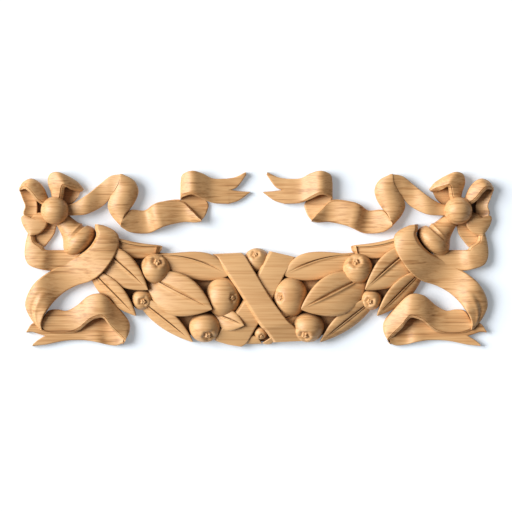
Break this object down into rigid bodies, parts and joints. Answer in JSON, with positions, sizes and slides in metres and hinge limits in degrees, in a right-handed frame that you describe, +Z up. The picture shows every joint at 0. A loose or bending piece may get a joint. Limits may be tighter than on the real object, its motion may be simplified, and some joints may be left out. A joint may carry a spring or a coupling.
{
  "type": "festoon swag ornament",
  "caption": "Carved wood festoon: a leaf and fruit swag hung between two ribbon bows, with trailing ribbons, crossed bands and a flat back for fixing to a panel.",
  "frame": {"origin": "on the flat back, on the upright middle line of the ornament, behind the fruit at the top of the crossed bands", "axes": "+X along the ornament to the viewer's right, +Y out of the flat back towards the panel, +Z up; the carved face looks along -Y"},
  "size_m": [0.476, 0.024, 0.1764],
  "materials": {
    "carved_wood": "bare pale hardwood, fine straight grain running lengthwise, sanded smooth, satin"
  },
  "bodies": {
    "root": {"festoon": "carved_wood"}
  },
  "joints": []
}
